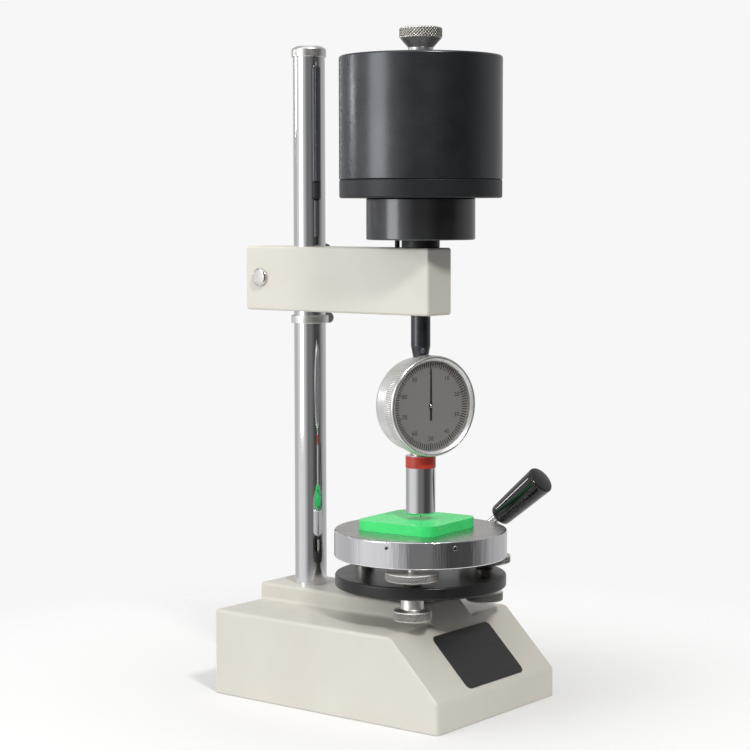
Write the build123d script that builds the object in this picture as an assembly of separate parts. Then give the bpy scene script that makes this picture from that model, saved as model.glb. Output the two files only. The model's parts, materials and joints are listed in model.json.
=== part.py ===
from build123d import *
import math
import os

# Shore-type hardness tester: dial durometer on a weighted operating stand.
# Frame: origin at the centre of the base's footprint, +X towards the sloped
# front (operator's side), +Y to the operator's right, +Z up. Millimetres.

os.makedirs("parts", exist_ok=True)

# ---------------------------------------------------------------- dimensions
base_l, base_w = 171.6, 122.6          # footprint
base_z0 = 0.0                          # lower rim
base_h = 52.5                          # flat top at the rear and sides
lip_z = 17.3                           # top of the low front face
slope_run = 35.4                       # horizontal run of the sloped front
rib_h = 10.7                           # raised rib under column and table
rib_y0, rib_y1 = -18.2, 23.8
wall = 6.0
corner_r = 4.0

col_x, col_r, col_ri = -58.6, 10.0, 7.0
col_z0, col_z1 = 20.0, 394.8
cap_r, cap_z1 = 10.8, 401.8

sp_x = 28.3                            # spindle and table axis
arm_x0, arm_x1 = -101.6, 42.8
arm_hw = 11.9
arm_z0, arm_z1 = 236.6, 277.1
clamp_x, clamp_z = -89.4, 257.5

post_r = 9.0
post_z0 = 6.0
plate_r, plate_z0, plate_z1 = 52.2, 71.8, 79.4
table_r, table_z0, table_z1 = 52.6, 90.0, 106.4
lev_r, lev_a = 43.0, 60.0              # levelling screws: radius and angle
knob_z0, knob_z1, neck_z1 = 58.7, 65.0, 71.7
knob_r, neck_r = 11.6, 6.8
wheel_z0, wheel_z1, wheel_r = 82.7, 87.7, 16.1
screw_r = 3.0

block_z1 = 112.4                       # top of the test block
block_s, block_rot, block_rc = 55.0, 3.6, 8.0
block_x, block_y = 24.8, 0.7
foot_z = 115.7                         # presser foot
tip_out = 2.5                          # indenter tip below the foot
lift = 10.0                            # table travel

gauge_a = -19.5                        # direction of the dial about +Z, degrees
gauge_z = 182.3                        # dial centre
case_r, bezel_r = 28.5, 30.5
w_back, w_case0, w_case1, w_front = -9.0, -4.8, 7.6, 15.1
dial_w, dial_r = 10.9, 27.2            # printed face of the dial, and its radius

gear_m = 1.0                           # lift gears
z_sector, z_idler = 68, 26
lever_x, lever_z = -39.5, 40.0
lever_y = 66.0
lever_a = 39.66                        # lever above the horizontal at rest
run = 0.05                             # radial running clearance

C3 = (Align.CENTER, Align.CENTER, Align.CENTER)
CM = (Align.CENTER, Align.CENTER, Align.MIN)


def cyl(x, y, z0, z1, r):
    return Pos(x, y, z0) * Cylinder(r, z1 - z0, align=CM)


def ring(x, y, z0, z1, r, ri):
    return cyl(x, y, z0, z1, r) - cyl(x, y, z0 - 1, z1 + 1, ri)


def cyl_y(x, z, y0, y1, r):
    return Pos(x, y0, z) * Rot(-90, 0, 0) * Cylinder(r, y1 - y0, align=CM)


def cyl_x(y, z, x0, x1, r):
    return Pos(x0, y, z) * Rot(0, 90, 0) * Cylinder(r, x1 - x0, align=CM)


def box(x0, x1, y0, y1, z0, z1):
    return Pos((x0 + x1) / 2, (y0 + y1) / 2, (z0 + z1) / 2) * Box(
        x1 - x0, y1 - y0, z1 - z0, align=C3)


def revolve_z(x, y, pts):
    """Solid of revolution about the vertical through x, y from (r, z) points."""
    face = make_face(Polyline(*[(r, 0, z) for r, z in pts], close=True))
    return Pos(x, y, 0) * revolve(face, Axis.Z, 360)


def prism_xz(pts, y0, y1):
    face = make_face(Polyline(*[(a, y0, b) for a, b in pts], close=True))
    return extrude(face, amount=y1 - y0, dir=(0, 1, 0))


def prism_yz(pts, x0, x1):
    face = make_face(Polyline(*[(x0, a, b) for a, b in pts], close=True))
    return extrude(face, amount=x1 - x0, dir=(1, 0, 0))


def inv(a):
    return math.tan(a) - a


def gear_pts(m, z, thin, k0, k1, phase=0.0, n=4):
    """Involute outline of teeth k0 to k1, each centred at phase + k * pitch."""
    pa = math.radians(20)
    r = m * z / 2
    rb, ra, rf = r * math.cos(pa), r + m, r - 1.25 * m
    half = math.pi / (2 * z) - thin / (2 * r)
    out = []
    rs = [max(rb, rf) + (ra - max(rb, rf)) * i / n for i in range(n + 1)]
    if rf < rb:
        rs = [rf] + rs

    def ha(q):
        a = math.acos(min(1.0, rb / max(q, rb)))
        return half + inv(pa) - inv(a)

    for k in range(k0, k1 + 1):
        c = phase + 2 * math.pi * k / z
        out += [(q * math.cos(c - ha(q)), q * math.sin(c - ha(q))) for q in rs]
        out += [(q * math.cos(c + ha(q)), q * math.sin(c + ha(q))) for q in reversed(rs)]
    return out


def rack_cuts(m, centre, n_lo, n_hi, thin):
    """Trapezoid gaps of a rack: (offset from pitch line, along) points per gap."""
    t = math.tan(math.radians(20))
    cuts = []
    for k in range(n_lo, n_hi + 1):
        c = centre + k * math.pi * m
        wp = math.pi * m / 4 + thin / 2
        d0, d1 = -2.0 * m, 1.25 * m
        cuts.append([(d0, c - wp + d0 * t), (d1, c - wp + d1 * t),
                     (d1, c + wp - d1 * t), (d0, c + wp - d0 * t)])
    return cuts



def out(name, shape):
    s = shape.solids()
    export_step(s[0] if len(s) == 1 else Compound(children=list(s)), f"parts/{name}.step")
    print(f"{name:24s} solids {len(s):2d}  volume {sum(q.volume for q in s):10.1f}")


# ------------------------------------------------------------------ base
hx, hy = base_l / 2, base_w / 2
sl_x = hx - slope_run                            # top edge of the slope
slope_k = (base_h - lip_z) / slope_run
rib_top = base_h + rib_h
rib_x = sl_x - rib_h / slope_k                   # rib's front edge at its top

profile = [(-hx, base_z0), (hx, base_z0), (hx, lip_z), (sl_x, base_h), (-hx, base_h)]
body = prism_xz(profile, -hy, hy)
rib = prism_xz([(-hx, base_h - 5), (sl_x + 5 / slope_k, base_h - 5), (rib_x, rib_top), (-hx, rib_top)],
               rib_y0, rib_y1)
vert = [e for e in body.edges() if abs(e.tangent_at(0.5).Z) > 0.99]
body = fillet(vert, corner_r)
casting = body + rib
soft = []
for e in casting.edges():
    c = e.center()
    if abs(e.tangent_at(0.5).Z) > 0.99:
        continue
    on_top = abs(c.Z - base_h) < 0.01 and (abs(abs(c.Y) - hy) < 4.1 or abs(c.X + hx) < 4.1)
    if on_top and not (rib_y0 - 0.1 < c.Y < rib_y1 + 0.1):
        soft.append(e)
try:
    casting = fillet(soft, 1.6)
except Exception:
    print("top edges left sharp")
for edge_set, rad in (("rib", 1.2), ("slope", 1.6)):
    pick = []
    for e in casting.edges():
        c = e.center()
        if edge_set == "rib" and abs(c.Z - rib_top) < 0.01:
            pick.append(e)
        if edge_set == "slope" and lip_z - 0.5 < c.Z < base_h - 3 and abs(abs(c.Y) - hy) < 0.6 \
                and sl_x + 2 < c.X < hx - 2:
            pick.append(e)
    try:
        casting = fillet(pick, rad)
    except Exception:
        print(edge_set, "edges left sharp")

# hollow from below, with the walls, bosses and bearing webs left in
ix, iy = hx - wall, hy - wall
ceil_z = base_h - wall
cav = prism_xz([(-ix, -1), (hx - wall, -1), (hx - wall, lip_z - 5.0),
                (sl_x - 2.6, ceil_z), (-ix, ceil_z)], -iy, iy)
cav_rib = prism_xz([(-ix, 20), (rib_x - 3.0, 20), (rib_x - 7.2, rib_top - 5.6), (-ix, rib_top - 5.6)],
                   rib_y0 + 6, rib_y1 - 6)
keep = cyl(col_x, 0, 14.0, 60, 14.0) - box(-47.3, -40, -9, 9, 28, 52)
keep += box(-50.0, 14.5, -14.0, -8.5, 30, 58.5)
keep += box(-50.0, 14.5, 8.5, 14.0, 30, 58.5)
keep += cyl_y(lever_x, lever_z, 49.0, hy, 10.0)
keep += ring(sp_x, 0, 54.5, 60, 13.5, 10.8)
cover_pts = [(sx * (ix - 8), sy * (iy - 8)) for sx in (-1, 1) for sy in (-1, 1)]
for x, y in cover_pts:
    keep += cyl(x, y, 3.0, min(ceil_z, 12.0) if x > 0 else ceil_z + 1, 5.0)
for y in (-(iy - 8), iy - 8):
    keep += box(ix - 12.0, ix + 0.5, y - 5, y + 5, 3.0, 10.5)
cover_z0, cover_z1 = 0.0, 3.0
recess = box(-ix - 2, ix + 2, -iy - 2, iy + 2, -1, cover_z1)
# webs stay clear of the post and its lower guide
casting = casting - ((cav + cav_rib) - keep) - recess
casting -= cyl(col_x, 0, col_z0, 90, col_r + 0.02)
casting -= cyl(col_x, 0, 10, 30, 4.2)
casting -= cyl(sp_x, 0, 40, 70, 10.8)
casting -= cyl(sp_x, 0, 38.0, 54.5, 12.0)        # clears the travel stop ring
casting -= cyl_y(lever_x, lever_z, 45, 70, 6.5)
casting -= cyl_y(lever_x, lever_z, -15, -8, 6.0)
casting -= cyl_y(lever_x, lever_z, 8, 15, 4.6)
casting -= cyl_y(lever_x + (z_sector + z_idler) / 2 * gear_m, lever_z, -20, 20, 3.0)
for x, y in cover_pts:
    casting -= cyl(x, y, 0, 11.0 if x > 0 else 18.0, 1.65)
out("base_casting", casting)

# bottom cover with the post's lower guide
cover = box(-ix - 1.9, ix + 1.9, -iy - 1.9, iy + 1.9, cover_z0, cover_z1)
cover += cyl(sp_x, 0, cover_z1, 19.5, 13.0)
cover -= cyl(sp_x, 0, cover_z1, 30, post_r + run)
for x, y in cover_pts:
    cover -= cyl(x, y, -1, 5, 2.2)
    cover -= revolve_z(x, y, [(0, -1.0), (4.0, -1.0), (4.0, 0.4), (2.2, 2.2), (0, 2.2)])
out("base_cover", cover)

screws = None
for x, y in cover_pts:
    top = 10.5 if x > 0 else 16.0
    s = revolve_z(x, y, [(0, 0.45), (3.85, 0.45), (2.1, 2.2), (1.6, 2.2), (1.6, top), (0, top)])
    s -= box(x - 0.5, x + 0.5, y - 3.2, y + 3.2, 0, 1.0)
    screws = s if screws is None else screws + s
out("cover_screws", screws)

# blank data plate on the slope: 58.2 across, 38.6 down the slope
lab_w, lab_h, lab_y = 58.2, 38.6, 2.4
slope_dir = Vector(slope_run, 0, lip_z - base_h).normalized()
slope_nrm = Vector(base_h - lip_z, 0, slope_run).normalized()
lab_c = Vector(sl_x, lab_y, base_h) + slope_dir * (7.6 + lab_h / 2)
lab_pl = Plane(origin=(lab_c.X, lab_c.Y, lab_c.Z), x_dir=(0, 1, 0),
               z_dir=(slope_nrm.X, slope_nrm.Y, slope_nrm.Z))
label = extrude(lab_pl * RectangleRounded(lab_w, lab_h, 3.6), amount=0.5)
out("data_plate", label)

# ------------------------------------------------------------------ column
col = ring(col_x, 0, col_z0, col_z1, col_r, col_ri)
out("column_tube", col)
plug = cyl(col_x, 0, 22.0, 44.0, col_ri) - cyl(col_x, 0, 20, 41, 4.05)
out("column_plug", plug)
bolt = cyl(col_x, 0, 8.5, 13.9, 6.5) + cyl(col_x, 0, 13.9, 36.0, 4.0)
bolt -= extrude(Pos(col_x, 0, 8.4) * RegularPolygon(3.4, 6), amount=3.4)
out("column_bolt", bolt)
cap = revolve_z(col_x, 0, [(0, 388.0), (col_ri - 0.02, 388.0), (col_ri - 0.02, col_z1), (cap_r - 0.4, col_z1),
                           (cap_r, col_z1 + 0.4), (cap_r, 398.6), (cap_r - 0.35, 399.7), (cap_r - 1.3, 400.7),
                           (cap_r - 3.2, 401.3), (cap_r - 6.5, 401.7), (0, cap_z1)])
out("column_cap", cap)

# ------------------------------------------------------------------ lift gears
idler_x = lever_x + (z_sector + z_idler) / 2 * gear_m
pitch_x = idler_x + z_idler / 2 * gear_m         # rack's pitch line
bush = ring(sp_x, 0, 54.5, rib_top + 0.4, 10.8, post_r + run)
out("post_bush", bush)
b1 = cyl_y(lever_x, lever_z, 49.0, hy + 0.3, 6.5) - cyl_y(lever_x, lever_z, 48, hy + 1, 4.0 + run)
b2 = cyl_y(lever_x, lever_z, -14.0, -8.5, 6.0) - cyl_y(lever_x, lever_z, -15, -8, 4.0 + run)
out("shaft_bushes", b1 + b2)
out("idler_pin", cyl_y(idler_x, lever_z, -14.0, 14.0, 3.0))

# lift post: rack gaps across its rear side, gap centred at the idler's height
post = cyl(sp_x, 0, post_z0, plate_z0, post_r)
post -= box(sp_x - 12, pitch_x - gear_m, -12, 12, 19.0, 51.5)
for g in rack_cuts(gear_m, lever_z, -6, 3, 0.12):
    post -= prism_xz([(pitch_x + a, b) for a, b in g], -12, 12)
post -= cyl(sp_x, 0, 58.0, 80, 3.05)
stop_z = 42.4
post -= ring(sp_x, 0, stop_z, stop_z + 1.6, 14, 8.0) - box(0, 24.0, -20, 20, 40, 50)
out("lift_post", post)
ringc = ring(sp_x, 0, stop_z + 0.02, stop_z + 1.5, 11.2, 8.02) - box(0, 24.2, -20, 20, 40, 50)
out("travel_stop_ring", ringc)

idler = prism_xz([(idler_x + a, lever_z + b) for a, b in gear_pts(gear_m, z_idler, 0.12, 0, z_idler - 1)], -5.0, 5.0)
idler += cyl_y(idler_x, lever_z, -8.2, 8.2, 6.0)
idler -= cyl_y(idler_x, lever_z, -9, 9, 3.0 + run)
out("idler_pinion", idler)

# sector on the lever shaft: a gap faces the idler at rest
pitch_a = 2 * math.pi / z_sector
k0, k1 = -3, 5
tp = gear_pts(gear_m, z_sector, 0.12, k0, k1, phase=pitch_a / 2)
rr = gear_m * z_sector / 2 - 1.25
a0 = pitch_a * (k0 + 0.0)
a1 = pitch_a * (k1 + 1.0)
pts = [(5 * math.cos(a0 - 0.9), 5 * math.sin(a0 - 0.9)), (rr * math.cos(a0), rr * math.sin(a0))] + tp + \
      [(rr * math.cos(a1), rr * math.sin(a1)), (5 * math.cos(a1 + 0.9), 5 * math.sin(a1 + 0.9))]
sector = prism_xz([(lever_x + a, lever_z + b) for a, b in pts], -4.5, 4.5)
sector += cyl_y(lever_x, lever_z, -7.5, 7.8, 7.0)
sector -= cyl_y(lever_x, lever_z, -9, 9, 4.0)
for dist, rad in ((19.0, 4.2),):
    for ang in (0.0, 0.36):
        sector -= cyl_y(lever_x + dist * math.cos(ang), lever_z + dist * math.sin(ang), -9, 9, rad - 1.2)
out("sector_gear", sector)
shaft = cyl_y(lever_x, lever_z, -14.5, 71.0, 4.0) - cyl_y(lever_x, lever_z, 62.0, 71.5, 1.65)
out("lever_shaft", shaft)

# ------------------------------------------------------------------ lever
ca, sa = math.cos(math.radians(lever_a)), math.sin(math.radians(lever_a))


def along(r0, r1, rad):
    """Rod along the lever, from r0 to r1 out from the shaft."""
    return (Pos(lever_x + r0 * ca, lever_y, lever_z + r0 * sa) * Rot(0, 90 - lever_a, 0)
            * Cylinder(rad, r1 - r0, align=CM))


hub = cyl_y(lever_x, lever_z, 61.9, 70.9, 9.5)
hub += along(4.0, 17.0, 4.1)
hub -= cyl_y(lever_x, lever_z, 60, 72, 4.0)
hub -= along(6.0, 20.0, 3.2)
hub -= cyl_y(lever_x, lever_z, 72, 80, 12)
out("lever_hub", hub)
out("lever_rod", along(6.0, 141.0, 3.2))
g0, g1 = 105.4, 146.6
gp = [(0, 0), (5.9, 0), (6.9, 0.7), (7.2, 1.9), (8.95, g1 - g0 - 3.0), (8.85, g1 - g0 - 2.0), (8.35, g1 - g0 - 1.2),
      (7.3, g1 - g0 - 0.65), (4.0, g1 - g0 - 0.15), (0, g1 - g0)]
grip = revolve(make_face(Polyline(*[(r, 0, z) for r, z in gp], close=True)), Axis.Z, 360)
grip -= Cylinder(3.2, 36.0, align=CM)
grip = Pos(lever_x + g0 * ca, lever_y, lever_z + g0 * sa) * Rot(0, 90 - lever_a, 0) * grip
out("lever_grip", grip)
es = cyl_y(lever_x, lever_z, 71.0, 72.2, 6.5) + cyl_y(lever_x, lever_z, 72.2, 74.0, 3.6)
es += cyl_y(lever_x, lever_z, 63.0, 71.0, 1.6)
out("shaft_end_screw", es)

# ------------------------------------------------------------------ lift table
lev = [(sp_x + lev_r * math.cos(math.radians(a)), lev_r * math.sin(math.radians(a))) for a in (-lev_a, lev_a)]
rear = (sp_x - lev_r, 0.0)
plate = revolve_z(sp_x, 0, [(0, plate_z0), (plate_r - 1.2, plate_z0), (plate_r - 0.35, plate_z0 + 0.35),
                            (plate_r, plate_z0 + 1.2), (plate_r, plate_z1 - 1.2), (plate_r - 0.35, plate_z1 - 0.35),
                            (plate_r - 1.2, plate_z1), (0, plate_z1)])
for x, y in lev:
    plate -= cyl(x, y, 60, 90, screw_r + run)
plate -= cyl(*rear, 60, 90, screw_r)
plate -= revolve_z(sp_x, 0, [(0, 60), (3.05, 60), (3.05, 76.0), (6.4, plate_z1 - 0.2), (6.4, 90), (0, 90)])
out("carrier_plate", plate)
pb = revolve_z(sp_x, 0, [(0, 60), (3.0, 60), (3.0, 76.0), (6.2, plate_z1 - 0.2), (0, plate_z1 - 0.2)])
pb -= extrude(Pos(sp_x, 0, 76.6) * RegularPolygon(2.2, 6), amount=5)
out("plate_bolt", pb)
pivot = revolve_z(*rear, [(0, 72.2), (screw_r, 72.2), (screw_r, plate_z1), (6.0, plate_z1), (6.0, 87.0), (4.4, 88.0),
                          (screw_r, 88.0), (screw_r, 90.6), (2.2, 91.8), (0, 92.2)])
out("rear_pivot", pivot)
table = revolve_z(sp_x, 0, [(0, table_z0), (table_r - 1.0, table_z0), (table_r, table_z0 + 1.0),
                            (table_r, table_z1 - 1.0), (table_r - 0.3, table_z1 - 0.3), (table_r - 1.0, table_z1),
                            (0, table_z1)])
for x, y in lev + [rear]:
    table -= cyl(x, y, table_z0 - 1, 93.0, screw_r + run)
grub_a = (-75.7, -30.8)
grub_z, grub_r = 102.4, 1.5
grubs = None
for a in grub_a:
    t = Pos(sp_x, 0, grub_z) * Rot(0, 0, a)
    table -= t * (Pos(table_r - 9, 0, 0) * Rot(0, 90, 0) * Cylinder(grub_r, 12, align=CM))
    g = t * (Pos(table_r - 8.5, 0, 0) * Rot(0, 90, 0) * Cylinder(grub_r - 0.02, 7.6, align=CM))
    g -= t * (Pos(table_r - 2.4, 0, 0) * Rot(0, 90, 0) * extrude(RegularPolygon(0.8, 6), amount=3))
    grubs = g if grubs is None else grubs + g
out("specimen_table", table)
out("table_grub_screws", grubs)
blk = extrude(Pos(block_x, block_y, table_z1) * Rot(0, 0, block_rot)
              * RectangleRounded(block_s, block_s, block_rc), amount=block_z1 - table_z1)
blk = fillet([e for e in blk.edges() if abs(e.center().Z - block_z1) < 0.01], 0.8)
out("test_block", blk)
for tag, (x, y) in zip(("left", "right"), lev):
    s = revolve_z(x, y, [(0, knob_z0), (knob_r - 0.8, knob_z0), (knob_r, knob_z0 + 0.8), (knob_r, knob_z1 - 0.8),
                         (knob_r - 0.8, knob_z1), (neck_r, knob_z1), (neck_r, neck_z1), (screw_r, neck_z1),
                         (screw_r, 90.6), (2.0, 91.8), (0, 92.2)])
    out(f"levelling_screw_{tag}", s)
    w = revolve_z(x, y, [(screw_r + run, plate_z1 + 0.1), (5.6, plate_z1 + 0.1), (5.6, wheel_z0), (wheel_r - 0.6, wheel_z0),
                         (wheel_r, wheel_z0 + 0.6), (wheel_r, wheel_z1 - 0.6), (wheel_r - 0.6, wheel_z1),
                         (screw_r + run, wheel_z1)])
    out(f"lock_wheel_{tag}", w)

# ------------------------------------------------------------------ arm
arm = box(arm_x0, arm_x1, -arm_hw, arm_hw, arm_z0, arm_z1)
arm = fillet(arm.edges(), 1.3)
arm -= cyl(col_x, 0, 230, 290, col_r + run)
arm -= box(arm_x0 - 1, col_x, -1.0, 1.0, 230, 290)
arm -= cyl(sp_x, 0, 230, 290, 8.0)
arm -= cyl_y(clamp_x, clamp_z, -20, 20, 4.1)
pin_x = 10.6
arm -= cyl(pin_x, 0, 262.0, 290, 1.75)
out("arm_beam", arm)
sb = ring(sp_x, 0, arm_z0, arm_z0 + 13, 8.0, 5.9 + run) + ring(sp_x, 0, arm_z1 - 13, arm_z1, 8.0, 5.9 + run)
out("spindle_bushes", sb)
cb = cyl_y(clamp_x, clamp_z, -arm_hw - 2.4, -arm_hw, 5.6)
cb = chamfer([e for e in cb.edges() if abs(e.center().Y + arm_hw + 2.4) < 0.01], 0.7)
cb += cyl_y(clamp_x, clamp_z, -arm_hw, 34.0, 4.0)
out("clamp_bolt", cb)
cw = cyl_y(clamp_x, clamp_z, arm_hw, arm_hw + 1.4, 9.0) - cyl_y(clamp_x, clamp_z, 0, 20, 4.1)
out("clamp_washer", cw)
kp = [(4.0 + run, 13.5), (8.5, 13.5), (9.5, 16), (9.5, 33), (12, 36.0), (20.2, 36.0), (21.6, 37.4), (21.6, 46.6), (20.4, 48.2),
      (14, 49.2), (0, 49.6), (0, 36.0), (4.0 + run, 36.0)]
kf = make_face(Polyline(*[(r, 0, z) for r, z in kp], close=True))
kn = Pos(clamp_x, 0, clamp_z) * Rot(-90, 0, 0) * revolve(kf, Axis.Z, 360)
out("clamp_knob", kn)

# stop collar and its thumbscrew
sc_z0, sc_z1 = 229.0, 234.0
sc = ring(col_x, 0, sc_z0, sc_z1, 11.7, col_r + run)
sc += cyl_y(col_x, (sc_z0 + sc_z1) / 2, 10.6, 13.2, 2.45) - cyl(col_x, 0, 220, 240, col_r + run)
sc -= cyl_y(col_x, (sc_z0 + sc_z1) / 2, 9, 15, 1.5 + run)
out("stop_collar", sc)
ts = cyl_y(col_x, (sc_z0 + sc_z1) / 2, 10.3, 13.5, 1.5)
ts += cyl_y(col_x, (sc_z0 + sc_z1) / 2, 13.5, 20.0, 3.4)
out("collar_thumbscrew", ts)

# ------------------------------------------------------------------ spindle and weights
w1_z0, w1_z1, w1_r = 306.9, 391.3, 49.05
trim_z = 317.8
w2_z0, w2_r = 281.9, 32.85
spi = revolve_z(sp_x, 0, [(3.2 + run, 211.6), (4.7, 211.6), (4.85, 212.6), (5.9, 217.9), (5.9, w1_z0), (5.0, w1_z0),
                          (5.0, 390.6), (4.0, 391.25), (4.0, 401.0), (3.2, 401.8), (0, 401.8), (0, 224.0),
                          (3.2 + run, 224.0)])
out("spindle_rod", spi)
rc = ring(sp_x, 0, arm_z1 + 0.02, w2_z0, 11.5, 5.9)
out("rest_collar", rc)
lw = revolve_z(sp_x, 0, [(5.9, w2_z0), (w2_r - 0.8, w2_z0), (w2_r, w2_z0 + 0.8), (w2_r, w1_z0 - 0.8),
                         (w2_r - 0.8, w1_z0), (5.9, w1_z0)])
lw -= cyl(pin_x, 0, w2_z0 - 1, 290.0, 1.5)
out("lower_weight", lw)
out("guide_pin", cyl(pin_x, 0, 264.0, 289.9, 1.5))
td = revolve_z(sp_x, 0, [(19.5, w1_z0), (w1_r - 1.0, w1_z0), (w1_r - 0.1, w1_z0 + 0.9), (w1_r - 0.1, trim_z - 0.5),
                         (w1_r - 0.6, trim_z), (19.5, trim_z)])
out("trim_weight", td)
mw = revolve_z(sp_x, 0, [(19.5, trim_z), (w1_r - 0.6, trim_z), (w1_r, trim_z + 0.6), (w1_r, w1_z1 - 1.0),
                         (w1_r - 1.0, w1_z1), (5.0 + run, w1_z1), (5.0 + run, 383.0), (19.5, 383.0)])
out("main_weight", mw)
wk = revolve_z(sp_x, 0, [(4.0 + run, w1_z1), (7.6, w1_z1), (7.6, 396.2), (8.1, 397.1), (12.2, 401.6), (12.9, 402.4),
                         (12.9, 407.6), (12.2, 408.4), (0, 408.5), (0, 402.2), (4.0 + run, 402.2)])
out("weight_knob", wk)

# ------------------------------------------------------------------ durometer
# local frame: +X out of the dial, +Y across it, +Z up; then turned by gauge_a
G = Pos(sp_x, 0, 0) * Rot(0, 0, gauge_a)


def gl(w0, w1, r, u=0.0, v=gauge_z):
    """Cylinder along the dial's axis."""
    return Pos(w0, u, v) * Rot(0, 90, 0) * Cylinder(r, w1 - w0, align=CM)


def rev_w(pts, v=gauge_z):
    f = make_face(Polyline(*[(r, 0, w) for r, w in pts], close=True))
    return Pos(0, 0, v) * Rot(0, 90, 0) * revolve(f, Axis.Z, 360)


case = rev_w([(0, w_back + 1.6), (25.0, w_back + 1.6), (25.0, w_back), (26.0, w_back), (27.6, w_back + 1.8),
              (case_r, w_case0), (case_r, w_case1), (26.2, w_case1), (26.2, -5.2), (0, -5.2)])
stem_low = cyl(0, 0, 151.5, 157.0, 6.4)
stem_top = cyl(0, 0, 208.0, 211.5, 5.0) + cyl(0, 0, 211.5, 223.9, 3.2)
inner = gl(-5.2, 30, 26.2)
case = case + (stem_low - inner) + (stem_top - inner)
case -= cyl(0, 0, 150, 158, 2.0 + run)
for a in (90, 210, 330):
    u, v = 22.6 * math.cos(math.radians(a)), 22.6 * math.sin(math.radians(a))
    case -= gl(-9, -5, 0.9, u, gauge_z + v)
out("gauge_case", G * case)
back = gl(w_back, w_back + 1.6, 25.0)
bs = None
for a in (90, 210, 330):
    u, v = 22.6 * math.cos(math.radians(a)), 22.6 * math.sin(math.radians(a))
    back -= gl(w_back - 1, 0, 1.0, u, gauge_z + v)
    s = gl(w_back - 0.5, w_back, 1.9, u, gauge_z + v) + gl(w_back, -5.6, 0.88, u, gauge_z + v)
    bs = s if bs is None else bs + s
out("gauge_back", G * back)
out("back_screws", G * bs)
barrel = revolve_z(0, 0, [(0.9, foot_z), (8.4, foot_z), (9.0, foot_z + 0.6), (9.0, 151.5), (2.0 + run, 151.5), (2.0 + run, 149.0),
                          (4.6, 149.0), (4.6, 124.0), (2.0 + run, 124.0), (2.0 + run, 119.0), (0.9, 119.0)])
out("presser_barrel", G * barrel)
out("colour_band", G * ring(0, 0, 144.0, 151.2, 9.2, 9.0))

# movement: rack on the rod, transfer sector, centre pinion
m1 = 2.984 / 10
rack_u = -1.2                                     # rack's pitch line beside the rod's axis
tr_u, tr_v = rack_u - 2.984, gauge_z - 8.4
d_c = math.hypot(tr_u, tr_v - gauge_z)
m2 = d_c / 42.5
rod = revolve_z(0, 0, [(0, foot_z - tip_out), (0.12, foot_z - tip_out), (0.62, foot_z - tip_out + 1.0), (0.62, 119.2),
                       (1.9, 120.6), (1.9, 124.05), (4.2, 124.05), (4.2, 126.0), (1.9, 126.0), (1.9, 185.0), (0, 185.0)])
rod -= box(-3, 3, -4, rack_u - m1, 166.0, 190.0)
for g in rack_cuts(m1, tr_v, -9, 9, 0.06):
    rod -= prism_yz([(rack_u + a, b) for a, b in g], -3, 3)
out("indenter_rod", G * rod)

ang_c = math.atan2(gauge_z - tr_v, -tr_u)         # from the transfer arbor to the dial's centre
p1 = gear_pts(m1, 20, 0.05, 0, 19, phase=0.0, n=3)
tr = prism_yz([(tr_u + a, tr_v + b) for a, b in p1], -1.4, 1.4)
pa2 = 2 * math.pi / 75
ks0, ks1 = -13, 3
tps = gear_pts(m2, 75, 0.03, ks0, ks1, phase=ang_c, n=3)
rr2 = m2 * 37.5 - 1.25 * m2
aa, bb = ang_c + pa2 * (ks0 - 0.5), ang_c + pa2 * (ks1 + 0.5)
sp = [(1.2 * math.cos(aa - 1.2), 1.2 * math.sin(aa - 1.2)), (rr2 * math.cos(aa), rr2 * math.sin(aa))] + tps + \
     [(rr2 * math.cos(bb), rr2 * math.sin(bb)), (1.2 * math.cos(bb + 1.2), 1.2 * math.sin(bb + 1.2))]
tr += prism_yz([(tr_u + a, tr_v + b) for a, b in sp], 2.6, 3.5)
tr += gl(-3.4, 5.6, 0.6, tr_u, tr_v)
tr += gl(1.3, 2.7, 1.4, tr_u, tr_v)
out("transfer_sector", G * tr)
p3 = gear_pts(m2, 10, 0.03, 0, 9, phase=ang_c + math.pi + math.pi / 10, n=3)
cp = prism_yz([(a, gauge_z + b) for a, b in p3], 2.5, 3.6) + gl(2.4, 12.2, 0.5)
out("centre_pinion", G * cp)
mp = gl(4.6, 5.8, 25.9) - gl(4, 7, 0.55) - gl(4, 7, 0.65, tr_u, tr_v)
mp += box(-5.1, -3.2, -9.6, -2.4, tr_v - 5.6, tr_v + 2.4) + gl(-4.0, 5.0, 1.1, -8.2, tr_v - 4.2)
mp -= gl(-3.6, -3, 0.65, tr_u, tr_v)
out("movement_frame", G * mp)

# calibration spring between the rod's flange and the barrel's upper shoulder
sz0, sz1, turns = 126.5, 148.5, 7
hx_path = Helix(pitch=(sz1 - sz0) / turns, height=sz1 - sz0, radius=3.3)
spring = sweep(Plane(origin=hx_path @ 0, z_dir=hx_path % 0) * Circle(0.42), path=hx_path)
spring = Pos(0, 0, sz0) * spring
out("calibration_spring", G * spring)

# dial, pointer, bezel, crystal
dial = gl(dial_w - 0.5, dial_w, dial_r) - gl(dial_w - 1, dial_w + 1, 1.2)
out("dial_face", G * dial)
ptr = prism_yz([(-0.6, gauge_z - 8.8), (0.6, gauge_z - 8.8), (0.55, gauge_z), (0.3, gauge_z + 22.6),
                (-0.3, gauge_z + 22.6), (-0.55, gauge_z)], dial_w + 0.4, dial_w + 0.7)
ptr += gl(dial_w + 0.3, dial_w + 1.2, 1.4)
ptr -= gl(dial_w, dial_w + 1.4, 0.5)
out("pointer", G * ptr)
bz = rev_w([(28.5 + run, 6.6), (bezel_r - 0.5, 6.6), (bezel_r, 7.1), (bezel_r, w_front - 0.6), (bezel_r - 0.3, w_front),
            (29.9, w_front), (dial_r, dial_w + 2.5), (dial_r, dial_w - 0.5), (26.0, dial_w - 0.5), (26.0, 8.0), (28.5 + run, 8.0)])
out("bezel_ring", G * bz)
out("crystal", G * gl(dial_w + 1.6, dial_w + 2.5, dial_r))
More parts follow.
